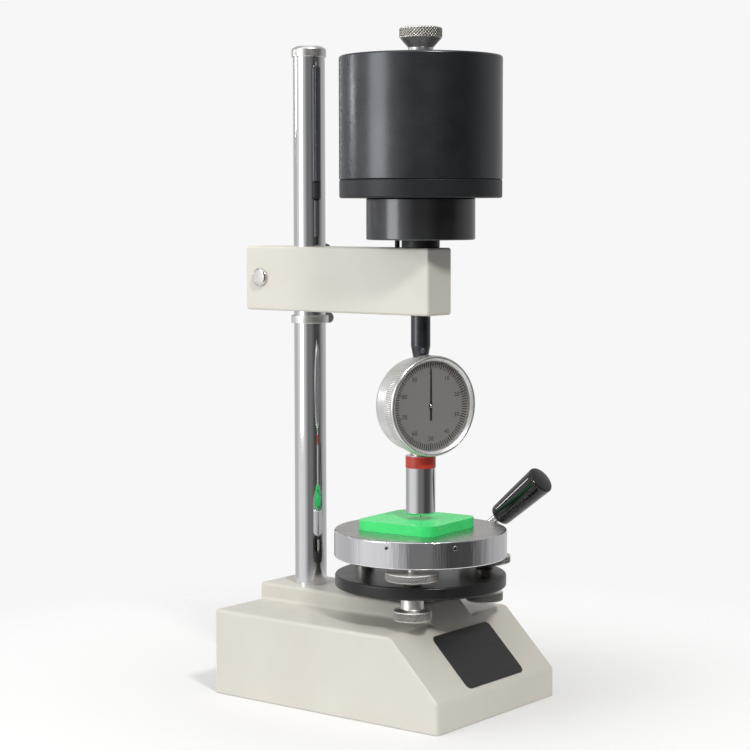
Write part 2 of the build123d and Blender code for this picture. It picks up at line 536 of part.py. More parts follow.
print("grip end", lever_x + g1 * ca, lever_z + g1 * sa, "m2", m2)
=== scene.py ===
import bpy
import bmesh
import json
import math
from mathutils import Matrix, Vector


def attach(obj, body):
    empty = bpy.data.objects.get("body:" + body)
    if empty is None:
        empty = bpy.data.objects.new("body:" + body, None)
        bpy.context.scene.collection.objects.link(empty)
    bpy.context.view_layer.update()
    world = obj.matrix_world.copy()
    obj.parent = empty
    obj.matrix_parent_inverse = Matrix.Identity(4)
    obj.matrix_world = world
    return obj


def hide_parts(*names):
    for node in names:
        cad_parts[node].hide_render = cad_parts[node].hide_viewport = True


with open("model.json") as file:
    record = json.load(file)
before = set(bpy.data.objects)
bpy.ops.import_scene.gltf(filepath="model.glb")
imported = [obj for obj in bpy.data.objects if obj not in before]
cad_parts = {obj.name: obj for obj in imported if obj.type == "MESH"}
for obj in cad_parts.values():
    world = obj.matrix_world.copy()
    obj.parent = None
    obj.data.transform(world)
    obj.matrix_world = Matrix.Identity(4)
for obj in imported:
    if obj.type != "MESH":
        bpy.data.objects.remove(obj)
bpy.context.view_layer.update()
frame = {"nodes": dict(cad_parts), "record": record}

MM = 0.001
PI = math.pi

# ------------------------------------------------------------- sizes, in mm
BASE_L, BASE_W, BASE_H, LIP, SLOPE = 171.6, 122.6, 52.5, 17.3, 35.4
RIB_H, RIB_Y0, RIB_Y1 = 10.7, -18.2, 23.8
COL_X, COL_R = -58.6, 10.0
SP_X = 28.3
ARM = (-101.6, 42.8, 11.9, 236.6, 277.1)
CLAMP_X, CLAMP_Z = -89.4, 257.5
GAUGE_A, GAUGE_Z = -19.5, 182.3
LEVER = (-39.5, 66.0, 40.0, 39.66)
LEV = [(SP_X + 21.5, -37.2391), (SP_X + 21.5, 37.2391)]

G = (Matrix.Translation((SP_X, 0, 0)) @ Matrix.Rotation(math.radians(GAUGE_A), 4, "Z"))
# dial frame: x = right across the dial, y = up, z = out of the dial
DIAL = G @ Matrix.Translation((0, 0, GAUGE_Z)) @ Matrix(((0, 0, 1, 0), (1, 0, 0, 0), (0, 1, 0, 0), (0, 0, 0, 1)))
YAX = Matrix(((1, 0, 0, 0), (0, 0, 1, 0), (0, -1, 0, 0), (0, 0, 0, 1)))  # local z -> +Y, local y -> -Z


# ------------------------------------------------------------- node helpers
class Nodes:
    """A material's node tree, with short calls for the nodes used here."""

    def __init__(self, name):
        self.m = bpy.data.materials.new(name)
        self.m.use_nodes = True
        self.t = self.m.node_tree
        self.t.nodes.clear()
        self.out = self.n("ShaderNodeOutputMaterial")
        self.b = self.n("ShaderNodeBsdfPrincipled")
        self.t.links.new(self.b.outputs[0], self.out.inputs[0])
        self.co = self.n("ShaderNodeTexCoord").outputs["Object"]

    def n(self, kind, **props):
        node = self.t.nodes.new(kind)
        for k, v in props.items():
            setattr(node, k, v)
        return node

    def link(self, a, b):
        self.t.links.new(a, b)

    def math(self, op, a, b=None, c=None):
        node = self.n("ShaderNodeMath", operation=op)
        for i, v in enumerate((a, b, c)):
            if v is None:
                continue
            if isinstance(v, (int, float)):
                node.inputs[i].default_value = v
            else:
                self.link(v, node.inputs[i])
        return node.outputs[0]

    def scaled(self, sx, sy, sz):
        node = self.n("ShaderNodeMapping")
        node.inputs["Scale"].default_value = (sx, sy, sz)
        self.link(self.co, node.inputs["Vector"])
        return node.outputs[0]

    def noise(self, per_m, detail=3.0, rough=0.5, vec=None):
        node = self.n("ShaderNodeTexNoise")
        node.inputs["Scale"].default_value = per_m
        node.inputs["Detail"].default_value = detail
        node.inputs["Roughness"].default_value = rough
        self.link(vec if vec is not None else self.co, node.inputs["Vector"])
        return node.outputs["Fac"]

    def ramp(self, fac, stops, colour=False):
        node = self.n("ShaderNodeValToRGB")
        els = node.color_ramp.elements
        while len(els) < len(stops):
            els.new(0.5)
        for e, (p, v) in zip(els, stops):
            e.position = p
            e.color = (*v, 1) if isinstance(v, (tuple, list)) else (v, v, v, 1)
        self.link(fac, node.inputs[0])
        return node.outputs[0]

    def mapr(self, fac, lo, hi, a=0.0, b=1.0):
        node = self.n("ShaderNodeMapRange")
        node.inputs["From Min"].default_value = a
        node.inputs["From Max"].default_value = b
        node.inputs["To Min"].default_value = lo
        node.inputs["To Max"].default_value = hi
        self.link(fac, node.inputs["Value"])
        return node.outputs[0]

    def mix(self, fac, a, b):
        node = self.n("ShaderNodeMix", data_type="RGBA")
        for sock, v in ((node.inputs[0], fac), (node.inputs[6], a), (node.inputs[7], b)):
            if isinstance(v, (tuple, list)):
                sock.default_value = (*v, 1)
            elif isinstance(v, (int, float)):
                sock.default_value = v
            else:
                self.link(v, sock)
        return node.outputs[2]

    def bump(self, height, dist_mm, strength=1.0, prev=None):
        node = self.n("ShaderNodeBump")
        node.inputs["Strength"].default_value = strength
        node.inputs["Distance"].default_value = dist_mm * MM
        self.link(height, node.inputs["Height"])
        if prev is not None:
            self.link(prev, node.inputs["Normal"])
        return node.outputs[0]

    def set(self, **kw):
        names = {"base": "Base Color", "metal": "Metallic", "rough": "Roughness", "ior": "IOR", "alpha": "Alpha",
                 "coat": "Coat Weight", "coat_rough": "Coat Roughness", "spec": "Specular IOR Level",
                 "sss": "Subsurface Weight", "sss_scale": "Subsurface Scale", "trans": "Transmission Weight",
                 "emit": "Emission Color", "emit_s": "Emission Strength", "normal": "Normal",
                 "aniso": "Anisotropic", "sheen": "Sheen Weight"}
        for k, v in kw.items():
            s = self.b.inputs[names[k]]
            if isinstance(v, (tuple, list)):
                s.default_value = (*v, 1) if len(v) == 3 else v
            elif isinstance(v, (int, float)):
                s.default_value = v
            else:
                self.link(v, s)
        return self


def srgb(r, g, b):
    def f(c):
        c /= 255
        return c / 12.92 if c <= 0.04045 else ((c + 0.055) / 1.055) ** 2.4
    return (f(r), f(g), f(b))


# ------------------------------------------------------------- materials
def m_cream(name="cream_enamel", shade=1.0):
    k = Nodes(name)
    # shade below 1 darkens the whole enamel: painted shade, used for a darker copy of the cream on the base
    lo, hi = [tuple(c * shade for c in col) for col in ((0.735, 0.703, 0.628), (0.800, 0.776, 0.700))]
    tone = k.ramp(k.noise(14, 4, 0.55), [(0.30, lo), (0.75, hi)])
    speck = k.ramp(k.noise(2600, 2, 0.6), [(0.24, 0.86), (0.34, 1.0)])
    mul = k.n("ShaderNodeMix", data_type="RGBA", blend_type="MULTIPLY")
    mul.inputs[0].default_value = 0.25
    k.link(tone, mul.inputs[6])
    k.link(speck, mul.inputs[7])
    nrm = k.bump(k.noise(420, 2, 0.5), 0.05, 0.55)
    nrm = k.bump(k.noise(1900, 2, 0.5), 0.012, 0.5, nrm)
    rough = k.mapr(k.noise(60, 3), 0.34, 0.46, 0.3, 0.7)
    return k.set(base=mul.outputs[2], rough=rough, normal=nrm, spec=0.5, coat=0.12, coat_rough=0.2).m


def m_black_steel(name, base=(0.090, 0.096, 0.106), r0=0.24, r1=0.30, metal=0.80, dust=0.05):
    """Blacked turned steel: fine turning rings, a few scuffs, slightly uneven sheen."""
    k = Nodes(name)
    tone = k.ramp(k.noise(35, 4, 0.6), [(0.3, tuple(c * 0.88 for c in base)), (0.7, tuple(c * 1.10 for c in base))])
    rings = k.noise(1, 3, 0.6, k.scaled(60, 60, 3600))
    scr = k.ramp(k.noise(1, 2, 0.7, k.scaled(900, 900, 60)), [(0.66, 0.0), (0.72, 1.0)])
    nrm = k.bump(rings, 0.010, 0.4)
    nrm = k.bump(k.noise(2800, 2, 0.5), 0.005, 0.4, nrm)
    rough = k.math("ADD", k.mapr(k.noise(70, 4), r0, r1, 0.3, 0.7), k.math("MULTIPLY", scr, dust))
    return k.set(base=tone, rough=rough, normal=nrm, metal=metal, spec=0.5).m


def m_chrome(name="bright_chrome", base=(0.80, 0.80, 0.82), r0=0.045, r1=0.080, turn=0.0015):
    k = Nodes(name)
    rings = k.noise(1, 3, 0.6, k.scaled(40, 40, 5200))
    smear = k.noise(55, 4, 0.6)
    nrm = k.bump(rings, turn, 0.35)
    rough = k.mapr(smear, r0, r1, 0.3, 0.72)
    col = k.ramp(k.noise(28, 3), [(0.3, tuple(c * 0.95 for c in base)), (0.7, base)])
    return k.set(base=col, metal=1.0, rough=rough, normal=nrm).m


def m_table():
    """Polished rim with a ground, slightly duller working face."""
    k = Nodes("table_chrome")
    geo = k.n("ShaderNodeNewGeometry")
    sep = k.n("ShaderNodeSeparateXYZ")
    k.link(geo.outputs["True Normal"], sep.inputs[0])
    top = k.mapr(sep.outputs["Z"], 0.0, 1.0, 0.90, 0.99)
    smear = k.noise(55, 4, 0.6)
    rim = k.mapr(smear, 0.03, 0.07, 0.3, 0.72)
    face = k.mapr(smear, 0.24, 0.34, 0.3, 0.72)
    rough = k.math("ADD", k.math("MULTIPLY", top, face), k.math("MULTIPLY", k.math("SUBTRACT", 1.0, top), rim))
    col = k.mix(top, (0.78, 0.78, 0.80), (0.50, 0.47, 0.45))
    nrm = k.bump(k.noise(1, 3, 0.6, k.scaled(40, 40, 5200)), 0.002, 0.35)
    nrm = k.bump(k.noise(1, 2, 0.65, k.scaled(230, 230, 26)), 0.42, 0.8, nrm)
    return k.set(base=col, metal=1.0, rough=rough, normal=nrm).m


def m_nickel(name="satin_nickel", base=(0.60, 0.585, 0.56), r0=0.2, r1=0.3):
    k = Nodes(name)
    rings = k.noise(1, 3, 0.6, k.scaled(300, 300, 6000))
    fine = k.noise(3500, 2, 0.6)
    nrm = k.bump(rings, 0.006, 0.5)
    nrm = k.bump(fine, 0.004, 0.4, nrm)
    col = k.ramp(k.noise(160, 4, 0.6), [(0.3, tuple(c * 0.82 for c in base)), (0.7, base)])
    rough = k.mapr(k.noise(220, 4), r0, r1, 0.3, 0.7)
    return k.set(base=col, metal=1.0, rough=rough, normal=nrm).m


def m_steel(name="machined_steel", base=(0.50, 0.50, 0.51)):
    return m_nickel(name, base, 0.26, 0.38)


def m_silver(name="satin_silver", base=(0.86, 0.86, 0.85), r0=0.30, r1=0.40):
    k = Nodes(name)
    col = k.ramp(k.noise(120, 3), [(0.3, tuple(c * 0.93 for c in base)), (0.7, base)])
    nrm = k.bump(k.noise(4200, 2, 0.6), 0.0015, 0.3)
    return k.set(base=col, metal=0.80, rough=k.mapr(k.noise(300, 3), r0, r1, 0.3, 0.7), normal=nrm).m


def m_plastic(name="black_gloss", base=(0.012, 0.012, 0.013), r0=0.10, r1=0.20):
    k = Nodes(name)
    nrm = k.bump(k.noise(260, 3), 0.03, 0.25)
    nrm = k.bump(k.noise(2200, 2), 0.004, 0.4, nrm)
    col = k.ramp(k.noise(90, 3), [(0.3, tuple(c * 0.8 for c in base)), (0.7, tuple(c * 1.2 for c in base))])
    return k.set(base=col, rough=k.mapr(k.noise(180, 4), r0, r1, 0.3, 0.7), normal=nrm, spec=0.5, coat=0.3, coat_rough=0.08).m


def m_green():
    k = Nodes("green_elastomer")
    col = k.ramp(k.noise(60, 3), [(0.3, (0.045, 0.84, 0.205)), (0.7, (0.065, 0.93, 0.245))])
    nrm = k.bump(k.noise(300, 2), 0.03, 0.3)
    nrm = k.bump(k.noise(1800, 2), 0.005, 0.4, nrm)
    return k.set(base=col, rough=k.mapr(k.noise(120, 3), 0.24, 0.34, 0.3, 0.7), normal=nrm, sss=0.15, sss_scale=0.004,
                 spec=0.35).m


def m_dial():
    k = Nodes("dial_grey")
    patch = k.ramp(k.noise(22, 2), [(0.35, (0.460, 0.422, 0.400)), (0.65, (0.412, 0.426, 0.412))])
    nrm = k.bump(k.noise(5000, 2), 0.004, 0.4)
    return k.set(base=patch, rough=k.mapr(k.noise(400, 2), 0.42, 0.5, 0.3, 0.7), normal=nrm, metal=0.2).m


def m_print(name, base, rough=0.45):
    k = Nodes(name)
    col = k.ramp(k.noise(3000, 2), [(0.3, tuple(c * 0.9 for c in base)), (0.7, tuple(min(1, c * 1.1) for c in base))])
    return k.set(base=col, rough=k.mapr(k.noise(900, 2), rough - 0.04, rough + 0.06, 0.3, 0.7)).m


def m_red():
    k = Nodes("red_band")
    col = k.ramp(k.noise(220, 3), [(0.3, (0.56, 0.045, 0.030)), (0.7, (0.66, 0.065, 0.045))])
    nrm = k.bump(k.noise(900, 2), 0.01, 0.4)
    return k.set(base=col, rough=k.mapr(k.noise(300, 2), 0.28, 0.36, 0.3, 0.7), normal=nrm, spec=0.5).m


def m_glass():
    k = Nodes("clear_crystal")
    nrm = k.bump(k.noise(200, 2), 0.002, 0.2)
    return k.set(base=(0.02, 0.02, 0.02), rough=0.03, normal=nrm, alpha=0.09, spec=0.6).m


def m_plate():
    k = Nodes("plate_black")
    speck = k.noise(2600, 3, 0.6)
    col = k.ramp(speck, [(0.3, (0.019, 0.019, 0.020)), (0.7, (0.028, 0.028, 0.029))])
    nrm = k.bump(speck, 0.004, 0.4)
    return k.set(base=col, rough=k.mapr(k.noise(300, 3), 0.38, 0.48, 0.3, 0.7), normal=nrm, spec=0.45).m


def m_brass():
    return m_nickel("turned_brass", (0.40, 0.30, 0.16), 0.26, 0.36)


M = {
    # the base's cream is the arm's cream made darker: painted shade, a shaded copy of one material
    "cream": m_cream(), "cream_cast": m_cream("cream_enamel_painted_shade", 0.89), "black": m_black_steel("black_steel", (0.084, 0.088, 0.096), metal=0.86),
    "black_bright": m_black_steel("black_steel_bright", (0.105, 0.107, 0.112), 0.17, 0.22, 0.92),
    "black_matt": m_black_steel("black_steel_matt", (0.036, 0.038, 0.041), 0.38, 0.46, 0.6),
    "plate_satin": m_black_steel("black_plate_satin", (0.034, 0.034, 0.034), 0.26, 0.34, 0.62),
    "chrome": m_chrome(), "table": m_table(),
    # the groove materials are dark copies of the nickel for the bottoms of knurl grooves: painted shade
    "nickel": m_nickel(), "groove": m_nickel("knurl_groove_painted_shade", (0.045, 0.041, 0.036), 0.45, 0.55), "knurl_nickel": m_nickel("knurled_nickel", (0.88, 0.86, 0.82), 0.30, 0.40),
    # a darker silver for the bezel knurl's grooves: painted shade
    "soft_groove_painted_shade": m_silver("bezel_groove_painted_shade", (0.42, 0.42, 0.41), 0.42, 0.52), "bright_nickel": m_nickel("bright_nickel", (0.78, 0.765, 0.73), 0.14, 0.22),
    "cap_nickel": m_nickel("cap_nickel", (0.84, 0.83, 0.81), 0.26, 0.34),
    "steel": m_steel(), "silver": m_silver(), "lip": m_silver("polished_lip", (0.90, 0.90, 0.90), 0.36, 0.44),
    "back_steel": m_silver("brushed_back", (0.34, 0.34, 0.35), 0.34, 0.44), "collar": m_nickel("collar_nickel", (0.86, 0.85, 0.83), 0.30, 0.38),
    # a darker nickel for the top knob's knurl grooves: painted shade
    "knob_groove_painted_shade": m_nickel("knob_groove_painted_shade", (0.30, 0.285, 0.26), 0.40, 0.50),
    "grip": m_plastic(base=(0.009, 0.009, 0.010), r0=0.08, r1=0.13), "knob": m_plastic("black_moulded", (0.014, 0.014, 0.015), 0.2, 0.32),
    "green": m_green(), "dial": m_dial(), "ink": m_print("black_ink", (0.010, 0.010, 0.010)), "marks": m_print("dial_printing", (0.045, 0.043, 0.042)),
    "red": m_red(), "glass": m_glass(), "plate": m_plate(), "brass": m_brass(),
}
SLOT_MAT = {
    "cream_paint": "cream", "black_steel": "black", "bright_chrome": "chrome", "satin_nickel": "nickel", "steel": "steel",
    "black_plastic": "knob", "brass": "brass", "silver_case": "silver", "dial_print": "dial", "needle_black": "ink",
    "crystal": "glass", "red_label": "red", "green_block": "green", "plate_black": "plate",
}
node_slot = {s["node"]: s["material_slot"] for s in frame["record"]["subparts"]}
node_body = {n: b for b, ns in frame["record"]["behaviour"]["bodies"].items() for n in ns}
for n, o in frame["nodes"].items():
    o.data.materials.clear()
    o.data.materials.append(M[SLOT_MAT[node_slot[n]]])


# ------------------------------------------------------------- mesh helpers
def add(name, bm, mat, node, extra=(), matrix=None, sharp=32, weighted=True, body=None, recalc=True):
    """Turns a bmesh in millimetres into a piece riding on the body of a CAD node."""
    if recalc:
        bmesh.ops.recalc_face_normals(bm, faces=bm.faces)
    me = bpy.data.meshes.new(name)
    bm.to_mesh(me)
    bm.free()
    if matrix is not None:
        me.transform(matrix)
        if matrix.to_3x3().determinant() < 0:
            me.flip_normals()
    me.transform(Matrix.Scale(MM, 4))
    o = bpy.data.objects.new(name, me)
    bpy.context.scene.collection.objects.link(o)
    for m in (mat if isinstance(mat, (list, tuple)) else [mat]):
        me.materials.append(M[m])
    me.shade_smooth()
    me.set_sharp_from_angle(angle=math.radians(sharp))
    if weighted:
        w = o.modifiers.new("weighted", "WEIGHTED_NORMAL")
        w.mode = "FACE_AREA"
        w.keep_sharp = True
    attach(o, body or node_body[node])
    if node:
        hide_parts(node, *extra)
    return o


def rounded(pts, radii, seg=4):
    """Profile points with corners rounded: radii maps an index to a radius."""
    out = []
    n = len(pts)
    for i, p in enumerate(pts):
        r = radii.get(i, 0) if isinstance(radii, dict) else radii[i]
        if r <= 0 or i in (0, n - 1):
            out.append(p)
            continue
        a, b = Vector(pts[i - 1]) - Vector(p), Vector(pts[(i + 1) % n]) - Vector(p)
        la, lb = a.length, b.length
        a.normalize(), b.normalize()
        half = math.acos(max(-1, min(1, a.dot(b)))) / 2
        d = min(r / math.tan(half), la * 0.49, lb * 0.49)
        rr = d * math.tan(half)
        cen = Vector(p) + (a + b).normalized() * (rr / math.sin(half))
        s, e = Vector(p) + a * d - cen, Vector(p) + b * d - cen
        ang = s.angle_signed(e) if s.length > 0 else 0
        for k in range(seg + 1):
            t = ang * k / seg
            c, sn = math.cos(-t), math.sin(-t)
            q = cen + Vector((s.x * c - s.y * sn, s.x * sn + s.y * c))
            out.append((q.x, q.y))
    return out


def lathe(pts, seg=160, mod=None, bm=None, closed=False):
    """Revolves (r, z) points about z. mod(theta, i, r, z) gives a radius change."""
    bm = bm or bmesh.new()
    rings = []
    for i, (r, z) in enumerate(pts):
        if r < 1e-6:
            rings.append([bm.verts.new((0, 0, z))])
            continue
        ring = []
        for s in range(seg):
            t = 2 * PI * s / seg
            rr = r + (mod(t, i, r, z) if mod else 0)
            ring.append(bm.verts.new((rr * math.cos(t), rr * math.sin(t), z)))
        rings.append(ring)
    pairs = list(zip(rings, rings[1:]))
    if closed:
        pairs.append((rings[-1], rings[0]))
    for a, b in pairs:
        for s in range(seg):
            t = (s + 1) % seg
            if len(a) == 1 and len(b) == 1:
                continue
            if len(a) == 1:
                bm.faces.new((a[0], b[t], b[s]))
            elif len(b) == 1:
                bm.faces.new((a[s], a[t], b[0]))
            else:
                bm.faces.new((a[s], a[t], b[t], b[s]))
    return bm


def shade_knurl_grooves(bm, r, z0, z1, depth, index=1):
    """Gives the bottoms of a knurl's grooves the second material, a darker one: painted shade in the grooves."""
    for f in bm.faces:
        c = f.calc_center_median()
        if z0 < c.z < z1 and r - 2 * depth < math.hypot(c.x, c.y) < r - 0.30 * depth:
            f.material_index = index
    return bm


def at(x, y, z=0):
    return Matrix.Translation((x, y, z))


def tri(x):
    f = x - math.floor(x)
    return 1 - abs(2 * f - 1)


def groove(x, w=0.5):
    """1 in the middle of a groove at whole numbers, 0 on the land."""
    f = abs(x - round(x))
    return max(0.0, 1 - f / w)


def straight_knurl(n, depth, z0, z1, w=0.42):
    def f(t, i, r, z):
        if z < z0 - 1e-6 or z > z1 + 1e-6:
            return 0
        return -depth * groove(n * t / (2 * PI), w)
    return f


def diamond_knurl(n, depth, z0, z1, pitch, w=0.34):
    def f(t, i, r, z):
        if z < z0 - 1e-6 or z > z1 + 1e-6:
            return 0
        a, b = n * t / (2 * PI), (z - z0) / pitch
        return -depth * max(groove(a + b, w), groove(a - b, w))
    return f


def zsplit(pts, i, n):
    """Adds n - 1 points between points i and i + 1, so a knurl has rows to work with."""
    (r0, z0), (r1, z1) = pts[i], pts[i + 1]
    mid = [(r0 + (r1 - r0) * k / n, z0 + (z1 - z0) * k / n) for k in range(1, n)]
    return pts[:i + 1] + mid + pts[i + 1:]


def prism(outline, z0, z1, bm=None, bevel=0.0, seg=3):
    """Extrudes a closed (x, y) outline from z0 to z1, edges rounded by bevel."""
    bm = bm or bmesh.new()
    lo = [bm.verts.new((x, y, z0)) for x, y in outline]
    hi = [bm.verts.new((x, y, z1)) for x, y in outline]
    n = len(outline)
    f0, f1 = bm.faces.new(list(reversed(lo))), bm.faces.new(hi)
    for i in range(n):
        bm.faces.new((lo[i], lo[(i + 1) % n], hi[(i + 1) % n], hi[i]))
    if bevel:
        edges = list(f0.edges) + list(f1.edges)
        bmesh.ops.bevel(bm, geom=edges, offset=bevel, segments=seg, profile=0.5, affect="EDGES", clamp_overlap=True)
    return bm


def round_rect(w, h, r, n=8, cx=0, cy=0, rot=0):
    pts = []
    for qx, qy, a0 in ((1, 1, 0), (-1, 1, 90), (-1, -1, 180), (1, -1, 270)):
        for k in range(n + 1):
            a = math.radians(a0 + 90 * k / n)
            pts.append((qx * (w / 2 - r) + r * math.cos(a), qy * (h / 2 - r) + r * math.sin(a)))
    c, s = math.cos(math.radians(rot)), math.sin(math.radians(rot))
    return [(cx + x * c - y * s, cy + x * s + y * c) for x, y in pts]


def cut(obj, bm, matrix=None):
    """Takes a millimetre bmesh away from an object's mesh, for good."""
    bmesh.ops.recalc_face_normals(bm, faces=bm.faces)
    me = bpy.data.meshes.new("cutter")
    bm.to_mesh(me)
    bm.free()
    if matrix is not None:
        me.transform(matrix)
    me.transform(Matrix.Scale(MM, 4))
    c = bpy.data.objects.new("cutter", me)
    bpy.context.scene.collection.objects.link(c)
    mod = obj.modifiers.new("cut", "BOOLEAN")
    mod.operation, mod.object, mod.solver = "DIFFERENCE", c, "EXACT"
    dg = bpy.context.evaluated_depsgraph_get()
    new = bpy.data.meshes.new_from_object(obj.evaluated_get(dg))
    obj.modifiers.remove(mod)
    old = obj.data
    obj.data = new
    bpy.data.meshes.remove(old)
    bpy.data.objects.remove(c)
    bpy.data.meshes.remove(me)


def finish_cut(o, sharp=32):
    o.data.shade_smooth()
    o.data.set_sharp_from_angle(angle=math.radians(sharp))
    if "weighted" not in o.modifiers:
        w = o.modifiers.new("weighted", "WEIGHTED_NORMAL")
        w.mode = "FACE_AREA"
        w.keep_sharp = True


# ------------------------------------------------------------- base casting
hx, hy = BASE_L / 2, BASE_W / 2
sl_x = hx - SLOPE
rib_top = BASE_H + RIB_H
rib_x = sl_x - RIB_H * SLOPE / (BASE_H - LIP)
bm = bmesh.new()
V = {}


def v(x, y, z):
    k = (round(x, 4), round(y, 4), round(z, 4))
    if k not in V:
        V[k] = bm.verts.new(k)
    return V[k]


Y0, Y1 = RIB_Y0, RIB_Y1
for face in (
    [(-hx, -hy, 0), (-hx, hy, 0), (hx, hy, 0), (hx, -hy, 0)],
    [(hx, -hy, 0), (hx, hy, 0), (hx, hy, LIP), (hx, -hy, LIP)],
    [(hx, -hy, LIP), (hx, hy, LIP), (sl_x, hy, BASE_H), (sl_x, Y1, BASE_H), (rib_x, Y1, rib_top), (rib_x, Y0, rib_top),
     (sl_x, Y0, BASE_H), (sl_x, -hy, BASE_H)],
    [(-hx, -hy, BASE_H), (sl_x, -hy, BASE_H), (sl_x, Y0, BASE_H), (-hx, Y0, BASE_H)],
    [(-hx, Y1, BASE_H), (sl_x, Y1, BASE_H), (sl_x, hy, BASE_H), (-hx, hy, BASE_H)],
    [(-hx, Y0, BASE_H), (sl_x, Y0, BASE_H), (rib_x, Y0, rib_top), (-hx, Y0, rib_top)],
    [(-hx, Y1, BASE_H), (-hx, Y1, rib_top), (rib_x, Y1, rib_top), (sl_x, Y1, BASE_H)],
    [(-hx, Y0, rib_top), (rib_x, Y0, rib_top), (rib_x, Y1, rib_top), (-hx, Y1, rib_top)],
    [(-hx, -hy, 0), (-hx, -hy, BASE_H), (-hx, Y0, BASE_H), (-hx, Y0, rib_top), (-hx, Y1, rib_top), (-hx, Y1, BASE_H),
     (-hx, hy, BASE_H), (-hx, hy, 0)],
    [(-hx, -hy, 0), (hx, -hy, 0), (hx, -hy, LIP), (sl_x, -hy, BASE_H), (-hx, -hy, BASE_H)],
    [(-hx, hy, 0), (-hx, hy, BASE_H), (sl_x, hy, BASE_H), (hx, hy, LIP), (hx, hy, 0)],
):
    bm.faces.new([v(*p) for p in face])
bmesh.ops.recalc_face_normals(bm, faces=bm.faces)
edges = [e for e in bm.edges if not all(q.co.z < 0.01 for q in e.verts)
         and e.calc_face_angle(0) > math.radians(3)]
bmesh.ops.bevel(bm, geom=edges, offset=2.2, segments=4, profile=0.5, affect="EDGES", clamp_overlap=True)
# the base wears the darkened copy of the cream: painted shade
base = add("base_body", bm, "cream_cast", "base_casting", sharp=40)
cut(base, lathe([(0, 38), (12.0, 38), (12.0, 54.5), (10.82, 54.5), (10.82, 80), (0, 80)], 96), at(SP_X, 0))
cut(base, lathe([(0, 50), (10.05, 50), (10.05, 80), (0, 80)], 96), at(COL_X, 0))
cut(base, lathe([(0, 49), (6.52, 49), (6.52, 70), (0, 70)], 64), at(LEVER[0], 0, LEVER[2]) @ YAX)
cut(base, prism(round_rect(BASE_L - 8.2, BASE_W - 8.2, 3.0, 6), -1, 3.02))
finish_cut(base, 40)

# ------------------------------------------------------------- data plate, left blank
up = Vector((-SLOPE, 0, BASE_H - LIP)).normalized()
nrm = Vector((BASE_H - LIP, 0, SLOPE)).normalized()
cen = Vector((sl_x, 2.4, BASE_H)) - up * (7.6 + 38.6 / 2)
PLATE = Matrix((( 0, up.x, nrm.x, cen.x), (1, up.y, nrm.y, cen.y), (0, up.z, nrm.z, cen.z), (0, 0, 0, 1)))
add("data_plate_blank", prism(round_rect(58.2, 38.6, 3.6, 10), 0.0, 0.5, bevel=0.15, seg=2), "plate", "data_plate", matrix=PLATE, sharp=40)

# ------------------------------------------------------------- column
pts = [(COL_R - 0.9, 63.0), (COL_R, 63.0), (COL_R, 394.8), (COL_R - 0.9, 394.8)]
add("column_bar", lathe(pts, 192), "chrome", "column_tube", matrix=at(COL_X, 0), weighted=False)
pts = rounded([(0, 394.7), (10.5, 394.7), (10.8, 395.1), (10.8, 399.8), (8.2, 401.4), (0, 401.8)], {1: .2, 2: .3, 3: 1.4, 4: 2.0}, 5)
add("column_top_cap", lathe(pts, 192), "cap_nickel", "column_cap", matrix=at(COL_X, 0))

# ------------------------------------------------------------- arm
x0, x1, hw, z0, z1 = ARM
bm = bmesh.new()
bmesh.ops.create_cube(bm, size=1, matrix=at((x0 + x1) / 2, 0, (z0 + z1) / 2) @ Matrix.Diagonal((x1 - x0, 2 * hw, z1 - z0, 1)))
bmesh.ops.bevel(bm, geom=bm.edges, offset=1.5, segments=4, profile=0.5, affect="EDGES")
arm = add("arm_box", bm, "cream", "arm_beam")
bm = bmesh.new()
bmesh.ops.create_cube(bm, size=1, matrix=at((x0 - 5 + COL_X) / 2, 0, 257) @ Matrix.Diagonal((COL_X - x0 + 5, 2.0, 60, 1)))
cut(arm, bm)
cut(arm, lathe([(0, 230), (10.08, 230), (10.08, 290), (0, 290)], 96), at(COL_X, 0))
cut(arm, lathe([(0, 230), (8.0, 230), (8.0, 290), (0, 290)], 96), at(SP_X, 0))
cut(arm, lathe([(0, 262), (1.75, 262), (1.75, 290), (0, 290)], 48), at(10.6, 0))
finish_cut(arm)
pts = rounded([(4.0, -34), (4.0, 11.9), (5.7, 11.9), (5.7, 13.4), (4.6, 14.3), (0, 14.4)], {3: .5, 4: .8}, 4)
pts = [(0, -34)] + pts
add("arm_clamp_bolt", lathe(pts, 96), "bright_nickel", "clamp_bolt", matrix=at(CLAMP_X, 0, CLAMP_Z) @ YAX @ Matrix.Rotation(PI, 4, "X"))
pts = rounded([(4.1, 11.9), (9.0, 11.9), (9.0, 13.3), (4.1, 13.3)], {1: .2, 2: .3}, 2)
add("arm_clamp_washer", lathe(pts, 96, closed=True), "steel", "clamp_washer", matrix=at(CLAMP_X, 0, CLAMP_Z) @ YAX)


def flutes(t, i, r, z):
    if r < 20.0:
        return 0
    return -1.1 * (0.5 + 0.5 * math.cos(18 * t)) ** 3


pts = rounded([(4.06, 13.5), (8.5, 13.5), (9.5, 16), (9.5, 33), (12, 36.0), (20.6, 36.0), (21.6, 38.0), (21.6, 46.6), (20.4, 48.4),
               (14, 49.3), (11.5, 48.6), (0, 48.6)], {1: .6, 2: 1, 3: 2, 4: 2, 5: .8, 6: 1.2, 7: 1.2, 8: 1.4, 9: .8, 10: .8}, 4)
add("arm_clamp_knob", lathe(pts, 216, flutes), "knob", "clamp_knob", matrix=at(CLAMP_X, 0, CLAMP_Z) @ YAX)

